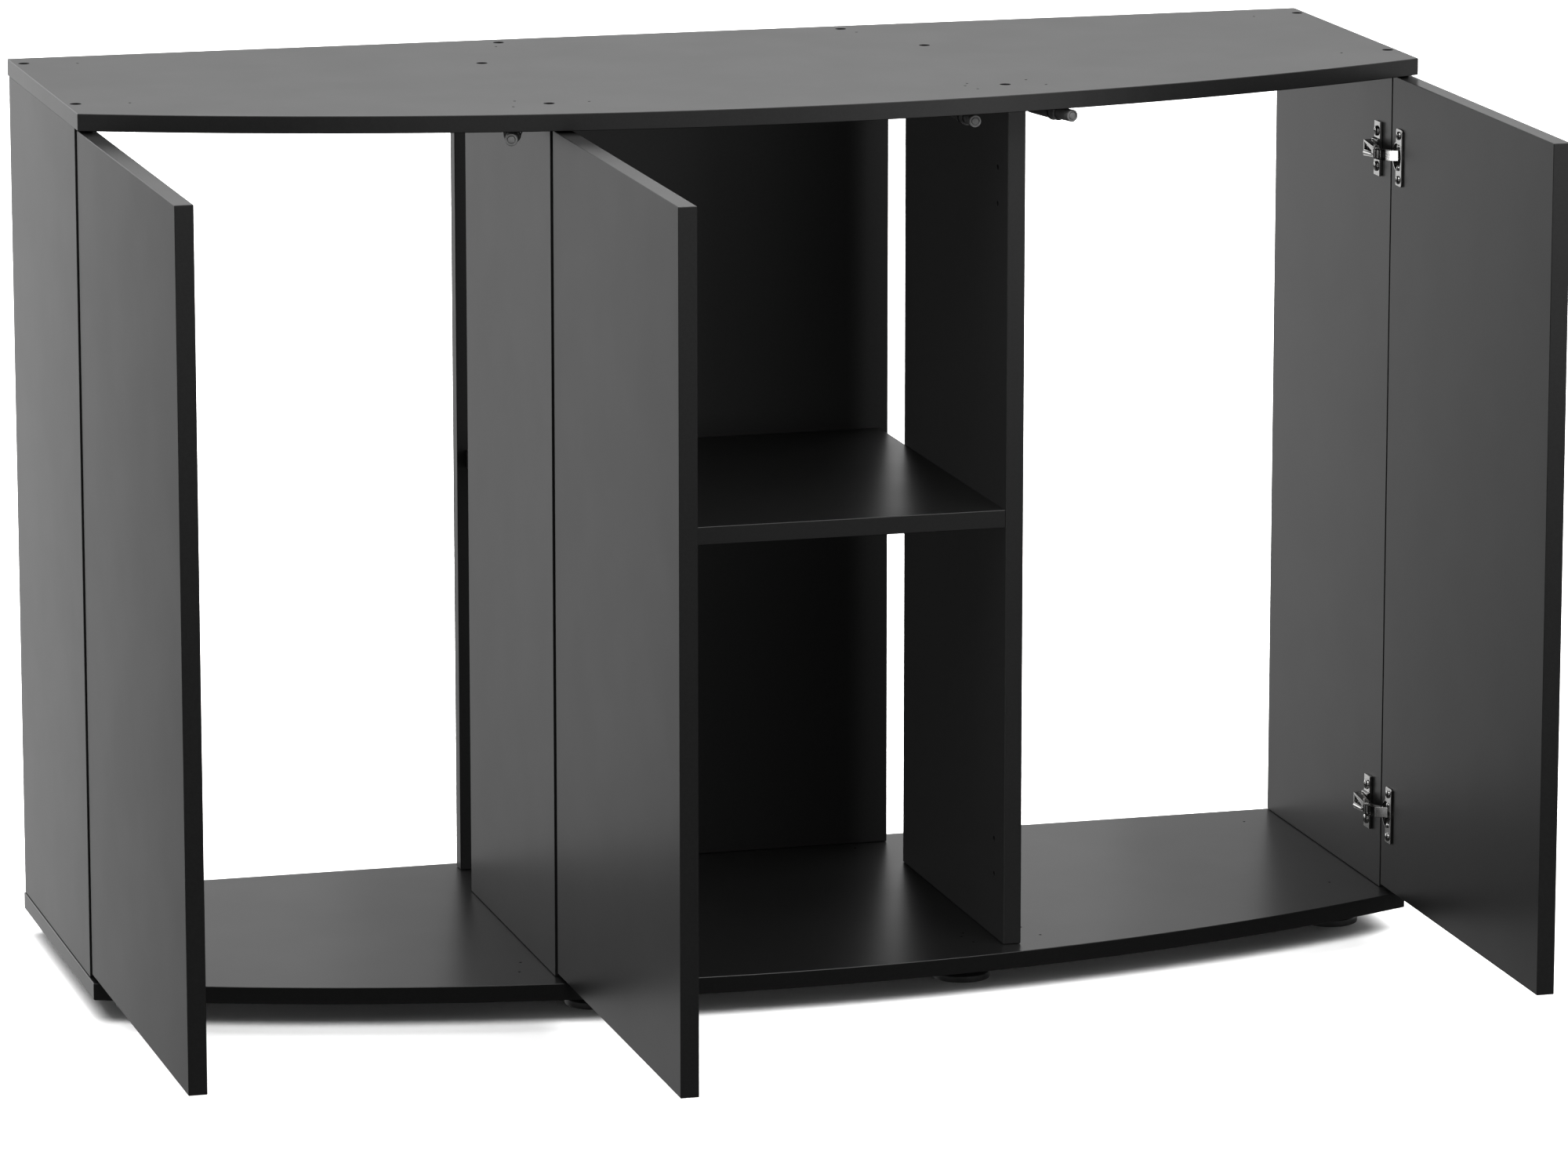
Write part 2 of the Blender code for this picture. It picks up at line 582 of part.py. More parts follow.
SIDE_BOARD = (-SIDE_OUTER, SIDE_SETBACK)
PARTITION_BOARD = (-PARTITION_INNER - BOARD, PARTITION_FRONT)
LEFT_DOOR = Door("left_door", 1, *SIDE_BOARD, SIDE_DOOR, -SIDE_CLOSED_EDGE, SIDE_CLOSED, TOE_IN)
CENTRE_LEAF = Door("centre_door", 1, *PARTITION_BOARD, CENTRE_DOOR, -CENTRE_CLOSED_EDGE, 0.0, 0.0)
RIGHT_DOOR = Door("right_door", -1, *SIDE_BOARD, SIDE_DOOR, -SIDE_CLOSED_EDGE, SIDE_CLOSED,
                  TOE_IN)

build_carcass()
hinge_meshes = {"plate": hinge_plate_mesh(), "arm": hinge_arm_mesh(),
                "link": hinge_link_mesh(), "cup": hinge_cup_mesh()}
for each_door in (LEFT_DOOR, CENTRE_LEAF, RIGHT_DOOR):
    swing_frame = each_door.empty("_pivot", each_door.pivot, each_door.toe_in)
    door_leaf(each_door, swing_frame)
    build_hinges(each_door, swing_frame, hinge_meshes)
build_latches()
build_feet()
build_screws()
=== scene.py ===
"""Looks of the bow-fronted aquarium stand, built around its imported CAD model."""
import json
from math import cos, pi, radians, sin

import bmesh
import bpy
from mathutils import Matrix, Vector


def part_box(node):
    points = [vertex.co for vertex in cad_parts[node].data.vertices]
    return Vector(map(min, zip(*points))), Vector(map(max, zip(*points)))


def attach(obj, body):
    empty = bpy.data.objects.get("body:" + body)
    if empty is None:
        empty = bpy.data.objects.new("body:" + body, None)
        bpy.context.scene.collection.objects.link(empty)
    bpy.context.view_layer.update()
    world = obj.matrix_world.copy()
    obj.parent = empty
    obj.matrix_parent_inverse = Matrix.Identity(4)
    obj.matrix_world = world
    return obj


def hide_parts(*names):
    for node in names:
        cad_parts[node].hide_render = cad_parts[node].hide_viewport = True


MM = 0.001
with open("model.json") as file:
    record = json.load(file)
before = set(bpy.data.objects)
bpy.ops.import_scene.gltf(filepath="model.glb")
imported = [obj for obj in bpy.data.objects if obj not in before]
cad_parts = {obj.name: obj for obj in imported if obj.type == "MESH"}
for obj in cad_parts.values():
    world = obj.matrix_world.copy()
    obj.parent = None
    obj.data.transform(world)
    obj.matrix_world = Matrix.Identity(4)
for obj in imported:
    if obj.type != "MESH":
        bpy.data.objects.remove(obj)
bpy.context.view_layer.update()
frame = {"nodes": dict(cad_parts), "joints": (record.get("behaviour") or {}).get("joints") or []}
NODES = frame["nodes"]
JOINTS = {joint["name"]: joint for joint in frame["joints"]}


def new_object(name, data):
    """An object on the mesh, light or camera, in the scene."""
    made = bpy.data.objects.new(name, data)
    bpy.context.scene.collection.objects.link(made)
    return made


# ---------------------------------------------------------------- camera

# fitted to the outlines in the photo
CAMERA_AT = (-1.844, -6.572, 1.836)
CAMERA_YAW, CAMERA_PITCH = radians(15.63), radians(12.03)
SENSOR, LENS = 36, 184.03
CAMERA_REACH = 200                 # far enough to see the whole floor


def build_camera():
    """The photographer's long lens, without roll or shift."""
    data = bpy.data.cameras.new("camera")
    data.sensor_width = SENSOR
    data.lens = LENS
    data.clip_end = CAMERA_REACH
    camera = new_object("camera", data)
    camera.location = CAMERA_AT
    camera.rotation_euler = (pi / 2 - CAMERA_PITCH, 0, -CAMERA_YAW)
    bpy.context.scene.camera = camera


# ---------------------------------------------------------------- sizes of the fittings

SEAM = 0.3 * MM                    # gap kept between two solids that touch
BOARD = 16 * MM                    # thickness of a door
SHARP = radians(35)                # edges sharper than this aren't shaded round
MIRROR = Matrix.Scale(-1, 4, (1, 0, 0))
# corners of each round shape
HEAD_STEPS, RIB_STEPS, PIN_STEPS, CUP_STEPS, LATCH_STEPS, GLIDE_STEPS = 40, 28, 24, 56, 56, 88

HINGE_SETBACK = 30 * MM            # screw line of the mounting plate, behind the board's edge
SCREW_PITCH = 32 * MM
PLATE_WIDTH, PLATE_HALF, PLATE_EAR = 15 * MM, 24.5 * MM, 2.8 * MM      # ear: its ends' thickness
SADDLE, SADDLE_HALF, SADDLE_SLOPE = 5.2 * MM, 8.5 * MM, 1.2 * MM
PIN_PROUD, PIN_SETBACK = 12 * MM, 2 * MM      # arm's pin, from the board's face and edge
NOSE_RADIUS, NOSE_HALF, NECK_HALF = 2.9 * MM, 3.5 * MM, 4.7 * MM
CROWN, TAIL_HALF, POCKET = 12.6 * MM, 7.4 * MM, 3.6 * MM      # crown: arm's height over the board
LINK_LENGTH, LINK_HALF, LINK_SHEET = 22.6 * MM, 4.7 * MM, 0.9 * MM
LINK_OPEN = radians(-125)          # direction of the link with its door open
CUP_RADIUS, CUP_WALL, CUP_DEPTH, CUP_RIM = 13 * MM, 0.7 * MM, 10.5 * MM, 0.9 * MM
# screw ears of the cup; EAR_THICK_CAD is how far the CAD's own ears stand out
EAR_OFFSET, EAR_HALF, EAR_THICK, EAR_THICK_CAD = 6 * MM, 25.6 * MM, 1.9 * MM, 1.6 * MM
EAR_SCREW, EAR_RIVET = 19.9 * MM, 9.5 * MM    # heights of an ear's fixings from its middle
RIM_SOFT, EDGE_SOFT = 0.35 * MM, 0.3 * MM     # rounding of flat and of folded pieces

LATCH_DROP = 7.2 * MM              # latch axis below the top panel
LATCH_BACK, LATCH_MOUTH = -46 * MM, -0.8 * MM
LATCH_RADIUS, GROOVE_RADIUS = 6.8 * MM, 6.1 * MM
GROOVE_BACK, GROOVE_FRONT = -10.3 * MM, -8.7 * MM             # where the bracket holds the latch
PLUNGER_RADIUS, PLUNGER_TIP = 5.4 * MM, 20 * MM
BRACKET_SHEET, BRACKET_SCREW_OUT = 1.2 * MM, 8.6 * MM
FOOT_STEM, FOOT_RIM, FOOT_SHOULDER = 20 * MM, 6 * MM, 9.5 * MM


# ---------------------------------------------------------------- node helpers

def new_material(name, colour, roughness, metallic=0.0, specular=0.5):
    made = bpy.data.materials.new(name)
    made.use_nodes = True
    tree = made.node_tree
    shader = tree.nodes["Principled BSDF"]
    shader.inputs["Base Color"].default_value = (*colour, 1)
    shader.inputs["Roughness"].default_value = roughness
    shader.inputs["Metallic"].default_value = metallic
    shader.inputs["Specular IOR Level"].default_value = specular
    return made, tree, shader


def add_node(tree, kind, **settings):
    node = tree.nodes.new("ShaderNode" + kind)
    for key, value in settings.items():
        setattr(node, key, value)
    return node


def noise(tree, where, scale, detail=2.0):
    node = add_node(tree, "TexNoise")
    node.inputs["Scale"].default_value = scale
    node.inputs["Detail"].default_value = detail
    tree.links.new(where, node.inputs["Vector"])
    return node.outputs["Fac"]


def spread(tree, value, low, high, start=0.35, end=0.65):
    """Map a value between start and end onto the range low to high; the defaults suit a noise."""
    node = add_node(tree, "MapRange", clamp=True)
    for key, number in (("From Min", start), ("From Max", end), ("To Min", low), ("To Max", high)):
        node.inputs[key].default_value = number
    tree.links.new(value, node.inputs["Value"])
    return node.outputs["Result"]


def maths(tree, operation, *values):
    """The result of a Math node on one or two sockets."""
    node = add_node(tree, "Math", operation=operation)
    for value, socket in zip(values, node.inputs):
        tree.links.new(value, socket)
    return node.outputs[0]


def axes(tree, vector):
    """The X, Y and Z outputs of a vector."""
    node = add_node(tree, "SeparateXYZ")
    tree.links.new(vector, node.inputs[0])
    return node.outputs


def blend_colours(tree, factor, first, second):
    node = add_node(tree, "Mix", data_type="RGBA")
    tree.links.new(factor, node.inputs["Factor"])
    node.inputs["A"].default_value = (*first, 1)
    node.inputs["B"].default_value = (*second, 1)
    return node.outputs["Result"]


def bump(tree, shader, height, strength, distance):
    node = add_node(tree, "Bump")
    node.inputs["Strength"].default_value = strength
    node.inputs["Distance"].default_value = distance
    tree.links.new(height, node.inputs["Height"])
    tree.links.new(node.outputs["Normal"], shader.inputs["Normal"])


# ---------------------------------------------------------------- materials

GRAIN, CLOUD, SPECK = (1400, 3), (14, 4), (420, 2)            # noises: scale and detail
GRAIN_BUMP = (0.2, 0.05 * MM)      # strength and depth
CLOUDING = 0.006                   # how far the roughness wanders
EDGE_RELIEF, EDGE_SMOOTHER = 0.35, 0.03       # banded edges, against the boards' faces
DARKEST, LIGHTEST = 0.9, 1.12                 # specks, against the boards' tone


def melamine(name, tone, roughness, specular, thin):
    """Fine-pearl melamine; the banded edges, which face off the thin axis, are a little smoother."""
    made, tree, shader = new_material(name, (tone, tone, tone), roughness, 0.0, specular)
    coordinates = add_node(tree, "TexCoord")
    where = coordinates.outputs["Object"]
    across = maths(tree, "ABSOLUTE", axes(tree, coordinates.outputs["Normal"])[thin])
    face = spread(tree, across, 0, 1, 0.5, 0.8)
    relief = maths(tree, "MULTIPLY", noise(tree, where, *GRAIN),
                   spread(tree, face, EDGE_RELIEF, 1, 0, 1))
    bump(tree, shader, relief, *GRAIN_BUMP)
    cloud = spread(tree, noise(tree, where, *CLOUD), -CLOUDING, CLOUDING)
    matt = maths(tree, "ADD", cloud,
                 spread(tree, face, roughness - EDGE_SMOOTHER, roughness, 0, 1))
    tree.links.new(matt, shader.inputs["Roughness"])
    dark, light = (tone * DARKEST,) * 3, (tone * LIGHTEST,) * 3
    speck = spread(tree, noise(tree, where, *SPECK), 0, 1)
    tree.links.new(blend_colours(tree, speck, dark, light), shader.inputs["Base Color"])
    return made


def worked(name, dark, light, roughness, wander, metallic=0.0, scale=900, relief=0.12):
    """Metal or moulded plastic: tone and gloss wander a little, over a fine grain."""
    made, tree, shader = new_material(name, light, roughness, metallic)
    where = add_node(tree, "TexCoord").outputs["Object"]
    cloud = noise(tree, where, scale * 0.12, 4)
    tree.links.new(spread(tree, cloud, roughness - wander, roughness + wander),
                   shader.inputs["Roughness"])
    speck = spread(tree, noise(tree, where, scale * 0.3, 3), 0, 1)
    tree.links.new(blend_colours(tree, speck, dark, light), shader.inputs["Base Color"])
    bump(tree, shader, noise(tree, where, scale, 2), relief, 0.03 * MM)
    return made


TONE, GLOSS = 0.013, 0.36          # base colour and roughness of the boards' faces
# axis across each board; the uprights have X
THIN = {"top_panel": "Z", "bottom_panel": "Z", "middle_shelf": "Z", "back_panel": "Y"}
CARCASS = {axis: melamine("melamine_" + axis, TONE, GLOSS, 0.5, axis) for axis in "XYZ"}
# the doors get the boards' melamine with a lower specular level: painted shade, for the dimmer light that
# falls on the doors
SHADED_DOOR = melamine("melamine_door_painted_shade", TONE, GLOSS, 0.38, "X")
NICKEL = worked("nickel", (0.42, 0.418, 0.412), (0.48, 0.477, 0.471), 0.16, 0.015, 1.0, 2000, 0.05)
GREY = worked("grey_plastic", (0.24, 0.24, 0.24), (0.29, 0.29, 0.29), 0.38, 0.04)
BLACK = worked("black_plastic", (0.008, 0.008, 0.008), (0.014, 0.014, 0.014), 0.45, 0.05)
STEEL = worked("blackened_steel", (0.03, 0.03, 0.033), (0.06, 0.06, 0.065), 0.38, 0.06, 1.0)
# part of a CAD node's name and its finish
FINISHES = (("screw_", STEEL), ("_hinge_", NICKEL), ("_latch_", GREY), ("_door", SHADED_DOOR),
            ("_foot", BLACK))


def dress_nodes():
    """Give each CAD node the finish its name calls for; what is left over is a board."""
    for name, node in NODES.items():
        board = CARCASS[THIN.get(name, "X")]
        finish = next((finish for part, finish in FINISHES if part in name), board)
        node.data.materials.clear()
        node.data.materials.append(finish)


# ---------------------------------------------------------------- building pieces

# A lift gives the corner for the point (a, b) of an outline at the height c.

def plain(a, b, c):
    """Lift for pieces whose axis is Z."""
    return (a, b, c)


def sideways(a, b, c):
    """Lift for pieces whose axis is X."""
    return (c, a, b)


def flat_on_board(y, z, x):
    """Lift for outlines drawn on a board's face."""
    return (x, y, z)


def prism(bm, outline, low, high, lift):
    """A prism on an outline of (a, b) points, from low to high."""
    ends = [[bm.verts.new(lift(a, b, c)) for a, b in outline] for c in (low, high)]
    bm.faces.new(ends[0])
    bm.faces.new(ends[1])
    for i in range(len(outline)):
        j = (i + 1) % len(outline)
        bm.faces.new((ends[0][i], ends[0][j], ends[1][j], ends[1][i]))


def turned(bm, profile, steps, lift):
    """Points of (radius, height) turned about the third axis; a radius of 0 makes one point."""
    rings = []
    for radius, height in profile:
        count = 1 if radius == 0 else steps
        turns = [2 * pi * i / steps for i in range(count)]
        rings.append([bm.verts.new(lift(radius * cos(t), radius * sin(t), height)) for t in turns])
    for near, far in zip(rings, rings[1:]):
        for i in range(steps):
            j = (i + 1) % steps
            corners = (near[i % len(near)], near[j % len(near)],
                       far[j % len(far)], far[i % len(far)])
            bm.faces.new(list(dict.fromkeys(corners)))


def lofted(bm, rings):
    """Rings of the same number of points, joined in order and closed at both ends."""
    rows = [[bm.verts.new(point) for point in ring] for ring in rings]
    bm.faces.new(rows[0])
    bm.faces.new(rows[-1])
    for near, far in zip(rows, rows[1:]):
        for i in range(len(near)):
            j = (i + 1) % len(near)
            bm.faces.new((near[i], near[j], far[j], far[i]))


def finished_mesh(name, build, edge=0.0):
    """The mesh that build(bm) fills, with its sharp edges rounded by edge."""
    bm = bmesh.new()
    build(bm)
    bmesh.ops.recalc_face_normals(bm, faces=bm.faces)
    if edge:
        sharp = [e for e in bm.edges
                 if len(e.link_faces) == 2 and e.calc_face_angle() > SHARP]
        bmesh.ops.bevel(bm, geom=sharp, offset=edge, segments=2, profile=0.5, affect="EDGES",
                        clamp_overlap=True)
    mesh = bpy.data.meshes.new(name)
    bm.to_mesh(mesh)
    bm.free()
    return smooth(mesh)


def smooth(mesh):
    """Shade the mesh round, except across its sharp edges."""
    for polygon in mesh.polygons:
        polygon.use_smooth = True
    mesh.set_sharp_from_angle(angle=SHARP)
    return mesh


def carved(mesh, operation, tool):
    """The mesh after one boolean step with the tool mesh."""
    work, cutter = new_object("work", mesh), new_object("tool", tool)
    step = work.modifiers.new("step", "BOOLEAN")
    step.operation, step.object, step.solver = operation, cutter, "EXACT"
    graph = bpy.context.evaluated_depsgraph_get()
    result = bpy.data.meshes.new_from_object(work.evaluated_get(graph))
    result.name = mesh.name
    bpy.data.objects.remove(work)
    bpy.data.objects.remove(cutter)
    return smooth(result)


def moved(mesh, matrix):
    """A copy of the mesh after the transform, still facing outwards where that mirrors it."""
    copy = mesh.copy()
    copy.transform(matrix)
    if matrix.determinant() < 0:
        copy.flip_normals()
    return copy


def both_hands(table):
    """Each mesh under (kind, 1) as it is and under (kind, -1) mirrored."""
    return {(kind, hand): mesh if hand > 0 else moved(mesh, MIRROR)
            for kind, mesh in table.items() for hand in (1, -1)}


def piece(name, mesh, finish, body, at=(0, 0, 0), turn=0.0, stands_for=()):
    """A piece of the object: its finish's slot, the body it rides on and the CAD nodes it replaces."""
    made = new_object(name, mesh)
    if not mesh.materials:
        mesh.materials.append(finish)
    made.location = at
    made.rotation_euler = (0, 0, turn)
    # Flat faces stay evenly shaded up to their rounded edges.
    even = made.modifiers.new("even_faces", "WEIGHTED_NORMAL")
    even.keep_sharp = True
    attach(made, body)
    if stands_for:
        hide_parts(*stands_for)
    return made


# ---------------------------------------------------------------- screws

def screw_head(name, radius, height):
    """Pan head with a cross recess, its seat at x = 0 and its crown towards +X."""
    rim = 0.22 * height
    dome = [(radius * cos(t), rim + (height - rim) * sin(t))
            for t in (0, 0.3, 0.6, 0.9, 1.2, 1.4)]

    def build(bm):
        turned(bm, [(0, 0), (radius, 0)] + dome + [(0, height)], HEAD_STEPS, sideways)
    arm, half = 0.52 * radius, 0.11 * radius
    cross = [(half, half), (arm, half), (arm, -half), (half, -half), (half, -arm), (-half, -arm),
             (-half, -half), (-arm, -half), (-arm, half), (-half, half), (-half, arm), (half, arm)]

    def recess(bm):
        prism(bm, cross, 0.35 * height, 2 * height, sideways)
    return carved(finished_mesh(name, build), "DIFFERENCE", finished_mesh("recess", recess))


def screw_head_below(name, radius, height):
    """The same head with its seat at z = 0 and its crown downwards."""
    return moved(screw_head(name, radius, height), Matrix.Rotation(pi / 2, 4, "Y"))


# ---------------------------------------------------------------- hinges
# Each mesh is for the left hand: x out of the board's face, y back from its front edge, z up.

def plate_mesh():
    """Mounting plate: two flat ears and a raised saddle between them."""
    outline = [(SEAM, -PLATE_HALF), (PLATE_EAR, -PLATE_HALF), (PLATE_EAR, -SADDLE_HALF - SADDLE_SLOPE),
               (SADDLE, -SADDLE_HALF), (SADDLE, SADDLE_HALF), (PLATE_EAR, SADDLE_HALF + SADDLE_SLOPE),
               (PLATE_EAR, PLATE_HALF), (SEAM, PLATE_HALF)]
    low = HINGE_SETBACK - PLATE_WIDTH / 2
    return finished_mesh("hinge_plate", lambda bm: prism(
        bm, outline, low, low + PLATE_WIDTH, lambda x, z, y: (x, y, z)), RIM_SOFT)


def arm_mesh():
    """Hollow-sided wedge with a three-cornered pocket and a rounded rib below it."""
    tail, neck = HINGE_SETBACK + 8 * MM, PIN_SETBACK + 7 * MM
    under = SADDLE + SEAM
    sections = [(tail, under, CROWN, TAIL_HALF), (neck, under + 1.5 * MM, CROWN + 0.8 * MM, NECK_HALF),
                (PIN_SETBACK + 4 * MM, PIN_PROUD - NOSE_RADIUS, PIN_PROUD + NOSE_RADIUS, NOSE_HALF)]
    sections += [(PIN_SETBACK - NOSE_RADIUS * sin(t), PIN_PROUD - NOSE_RADIUS * cos(t),
                  PIN_PROUD + NOSE_RADIUS * cos(t), NOSE_HALF)
                 for t in (-0.8, 0, 0.35, 0.7, 1.05, 1.4)]

    def build(bm):
        lofted(bm, [[(low, y, -half), (high, y, -half), (high, y, half), (low, y, half)]
                    for y, low, high, half in sections])
    wedge = finished_mesh("hinge_arm", build, EDGE_SOFT)
    window = [(tail - 2.2 * MM, -1.2 * MM), (tail - 2.2 * MM, TAIL_HALF - 1.7 * MM),
              (neck + 6 * MM, 0.6 * MM), (neck + 6 * MM, -0.9 * MM)]
    pocket = finished_mesh("pocket", lambda bm: prism(
        bm, window, CROWN - POCKET, CROWN + POCKET, flat_on_board))
    side = [(tail - 1.4 * MM, under - 1 * MM), (tail - 1.4 * MM, CROWN - 2 * MM),
            (neck + 2 * MM, PIN_PROUD - 1.5 * MM), (neck + 2 * MM, under + 0.4 * MM)]
    wedge = carved(wedge, "DIFFERENCE", pocket)
    for hand in (-1, 1):
        hollow = finished_mesh("hollow", lambda bm: prism(
            bm, side, hand * (TAIL_HALF - 0.8 * MM), hand * 2 * TAIL_HALF,
            lambda y, x, z: (x, y, z)))
        wedge = carved(wedge, "DIFFERENCE", hollow)
    start = Vector((CROWN - 0.5 * MM, tail - 2.6 * MM, -4 * MM))
    end = Vector((CROWN + 0.5 * MM, neck + 3 * MM, -2.4 * MM))
    run = end - start
    across = run.cross(Vector((1, 0, 0))).normalized()
    out = across.cross(run).normalized()

    def rib_build(bm):
        profile = [(0, 0), (1.9 * MM, 0), (1.7 * MM, run.length * 0.8), (1.1 * MM, run.length),
                   (0, run.length)]
        turned(bm, profile, RIB_STEPS,
               lambda a, b, c: start + across * a + out * b + run.normalized() * c)
    return carved(wedge, "UNION", finished_mesh("rib", rib_build))


def link_mesh():
    """Folded link: two cheeks that carry its pin, joined at their far end by a slanting web."""
    along = Vector((cos(LINK_OPEN), sin(LINK_OPEN)))
    across = Vector((-along.y, along.x))

    def lift(a, b, z):
        point = along * a + across * b
        return (point.x, point.y, z)
    heel = -3.3 * MM                   # the cheeks reach this far behind the pin
    web_near, web_far = Vector((13.3 * MM, 6 * MM)), Vector((LINK_LENGTH, 0.4 * MM))
    outer = [(heel, -2.2 * MM), (heel + 1 * MM, -3.2 * MM), (5 * MM, -3.2 * MM), (8 * MM, -0.8 * MM),
             (LINK_LENGTH - 1.8 * MM, -0.8 * MM), web_far, web_near, (11.5 * MM, 6 * MM),
             (1 * MM, 3.6 * MM), (heel + 0.8 * MM, 2.8 * MM), (heel, 1.8 * MM)]
    run = (web_far - web_near).normalized()
    inward = Vector((run.y, -run.x)) * LINK_SHEET
    low, high = web_near - run * 4 * MM + inward, web_far + run * 3 * MM + inward
    back = heel - 5 * MM
    gap = [low, high, (high.x, back), (back, back), (back, low.y)]
    body = finished_mesh("hinge_link", lambda bm: prism(
        bm, outer, -LINK_HALF, LINK_HALF, lift), EDGE_SOFT)
    slot = finished_mesh("slot", lambda bm: prism(
        bm, gap, LINK_SHEET - LINK_HALF, LINK_HALF - LINK_SHEET, lift))
    body = carved(body, "DIFFERENCE", slot)
    head = LINK_HALF + 0.7 * MM

    def pin_build(bm):
        turned(bm, [(0, -head), (1.3 * MM, -head), (1.7 * MM, 0.4 * MM - head),
                    (1.7 * MM, head - 0.4 * MM), (1.3 * MM, head), (0, head)], PIN_STEPS,
               plain)
    return carved(body, "UNION", finished_mesh("pin", pin_build))


def cup_mesh():
    """Cup with a thin rim and two screw ears, its mouth at x = 0."""
    inside = CUP_RADIUS - CUP_WALL

    def shell_build(bm):
        turned(bm, [(0, -CUP_DEPTH - CUP_WALL), (CUP_RADIUS, -CUP_DEPTH - CUP_WALL), (CUP_RADIUS, SEAM),
                    (CUP_RADIUS + 0.8 * MM, SEAM), (CUP_RADIUS + 0.8 * MM, CUP_RIM - 0.3 * MM),
                    (CUP_RADIUS + 0.4 * MM, CUP_RIM), (0, CUP_RIM)], CUP_STEPS, sideways)
    near, far, clip = PLATE_WIDTH / 2 - EAR_OFFSET, -PLATE_WIDTH / 2 - EAR_OFFSET, 1.2 * MM
    upper = [(near, EAR_HALF - clip), (near - clip, EAR_HALF), (far + clip, EAR_HALF),
             (far, EAR_HALF - clip)]
    ears = upper + [(y, -z) for y, z in reversed(upper)]
    plate = finished_mesh("ears", lambda bm: prism(
        bm, ears, SEAM, EAR_THICK, flat_on_board), RIM_SOFT)
    bowl = finished_mesh("bowl", lambda bm: turned(
        bm, [(0, -CUP_DEPTH), (inside - 1.5 * MM, -CUP_DEPTH), (inside, 1.5 * MM - CUP_DEPTH),
             (inside, 5 * MM), (0, 5 * MM)], CUP_STEPS, sideways))
    cup = carved(finished_mesh("hinge_cup", shell_build), "UNION", plate)
    return carved(cup, "DIFFERENCE", bowl)


def build_hinge(stem, level, hand, meshes, heads):
    """A hinge where its CAD pieces are, on the bay's left (hand 1) or right (-1); returns its link."""
    hinge, door = stem + "_" + level + "_hinge_", stem + "_door"
    low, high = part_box(hinge + "plate")
    face = low.x - SEAM if hand > 0 else high.x + SEAM
    edge, height = (low.y + high.y) / 2 - HINGE_SETBACK, (low.z + high.z) / 2

    def fit(kind, body, at, turn=0.0):
        return piece(hinge + kind + "_finished", meshes[kind, hand], NICKEL, body, at, turn,
                     (hinge + kind,))

    def screw(label, head, body, origin, turn, x, y, z):
        at = Vector(origin) + Matrix.Rotation(turn, 3, "Z") @ Vector((hand * x, y, z))
        piece(hinge + label, heads[head, hand], NICKEL, body, at, turn)

    board = (face, edge, height)
    fit("plate", "cabinet", board)
    fit("arm", "cabinet", board)
    pivot = JOINTS[stem + "_link_pivot"]["pos_m"]
    link = fit("link", stem + "_hinge_links", (pivot[0], pivot[1], height))
    leaf_low, leaf_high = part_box(stem + "_door")
    toe_in = (leaf_high.x - leaf_low.x - BOARD) / (leaf_high.y - leaf_low.y)
    low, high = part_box(hinge + "cup")
    reach = EAR_THICK_CAD + (PLATE_WIDTH / 2 + EAR_OFFSET) * toe_in
    mouth = high.x - reach if hand > 0 else low.x + reach
    cup = (mouth, (low.y + high.y) / 2, height)
    fit("cup", door, cup, hand * toe_in)
    for side, sign in (("upper", 1), ("lower", -1)):
        screw(side + "_plate_screw", "large", "cabinet", board, 0.0,
              PLATE_EAR, HINGE_SETBACK, sign * SCREW_PITCH / 2)
        screw(side + "_ear_screw", "small", door, cup, hand * toe_in,
              EAR_THICK, -EAR_OFFSET, sign * EAR_SCREW)
        screw(side + "_rivet", "rivet", door, cup, hand * toe_in,
              EAR_THICK, -EAR_OFFSET, sign * EAR_RIVET)
    screw("depth_screw", "adjuster", "cabinet", board, 0.0,
          CROWN - POCKET, HINGE_SETBACK + 2.6 * MM, 1.4 * MM)
    return link


def build_hinges():
    """All six hinges; returns their links."""
    shapes = both_hands({"plate": plate_mesh(), "arm": arm_mesh(), "link": link_mesh(),
                         "cup": cup_mesh()})
    rivet = [(0, 0), (2.5 * MM, 0), (2.3 * MM, 0.7 * MM), (1.5 * MM, 1.2 * MM), (0, 1.4 * MM)]
    heads = both_hands({"large": screw_head("plate_screw", 4.7 * MM, 2.6 * MM),
                        "small": screw_head("ear_screw", 3.8 * MM, 2.2 * MM),
                        "adjuster": screw_head("adjusting_screw", 3.1 * MM, 2.4 * MM),
                        "rivet": finished_mesh("rivet", lambda bm: turned(
                            bm, rivet, RIB_STEPS, sideways))})
    return [build_hinge(stem, level, hand, shapes, heads)
            for stem, hand in (("left", 1), ("centre", 1), ("right", -1))
            for level in ("lower", "upper")]


# ---------------------------------------------------------------- push latches
# Each mesh has its axis along z, towards the door; x is sideways and y up.

